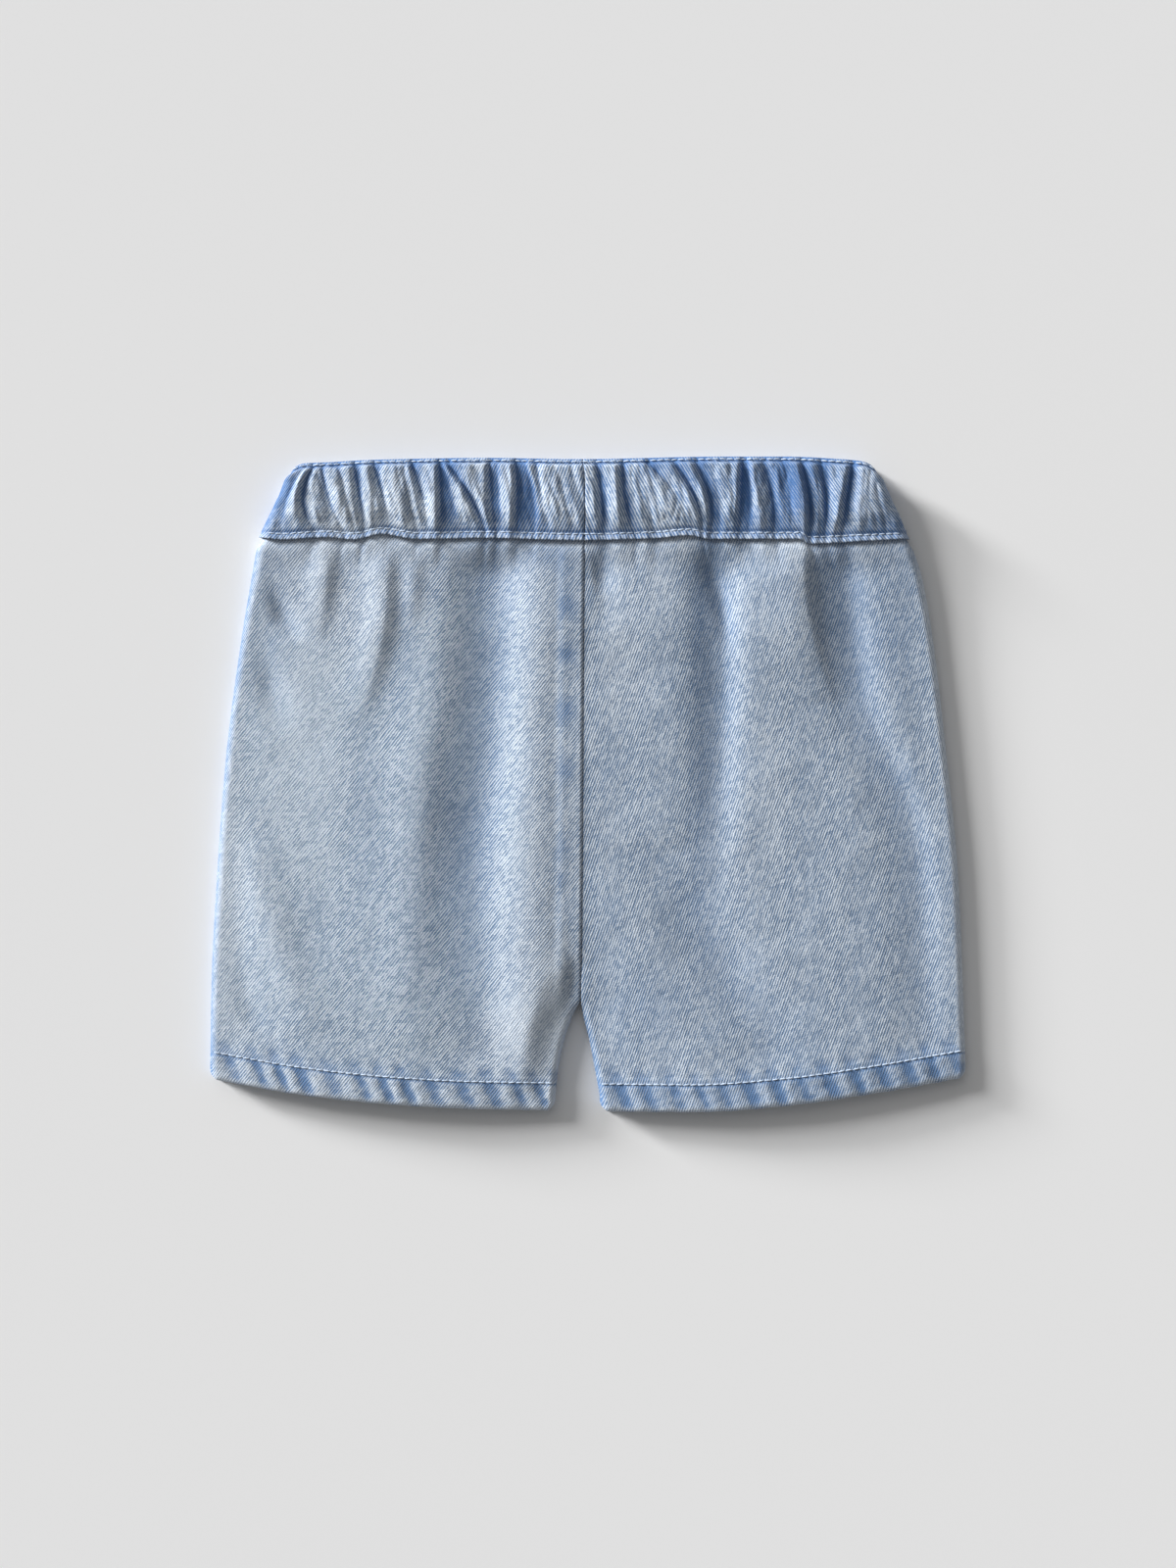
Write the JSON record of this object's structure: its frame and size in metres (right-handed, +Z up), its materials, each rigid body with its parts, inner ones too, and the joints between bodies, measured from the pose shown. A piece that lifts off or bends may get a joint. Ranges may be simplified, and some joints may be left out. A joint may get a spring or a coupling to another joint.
{
  "type": "denim shorts",
  "caption": "Child's pull-on denim shorts with a gathered elastic waistband and turned hems, lying flat with the back showing.",
  "frame": {"origin": "under the middle of the garment, on the surface that it lies on", "axes": "+X to the right of the garment as it is seen from above, +Y towards the waist, +Z up off the surface, with the back of the garment on top"},
  "size_m": [0.301, 0.2604, 0.0123],
  "materials": {
    "leg_denim": "light washed twill, matt, worn paler on ridges",
    "waistband_denim": "light washed twill, matt, bluer in the gathers",
    "webbing": "matt woven elastic"
  },
  "bodies": {
    "root": {"back_left_leg": "leg_denim", "back_right_leg": "leg_denim", "front_left_leg": "leg_denim", "front_right_leg": "leg_denim", "waistband_back_left": "waistband_denim", "waistband_back_right": "waistband_denim", "waistband_front": "waistband_denim", "waist_elastic": "webbing"}
  },
  "joints": []
}
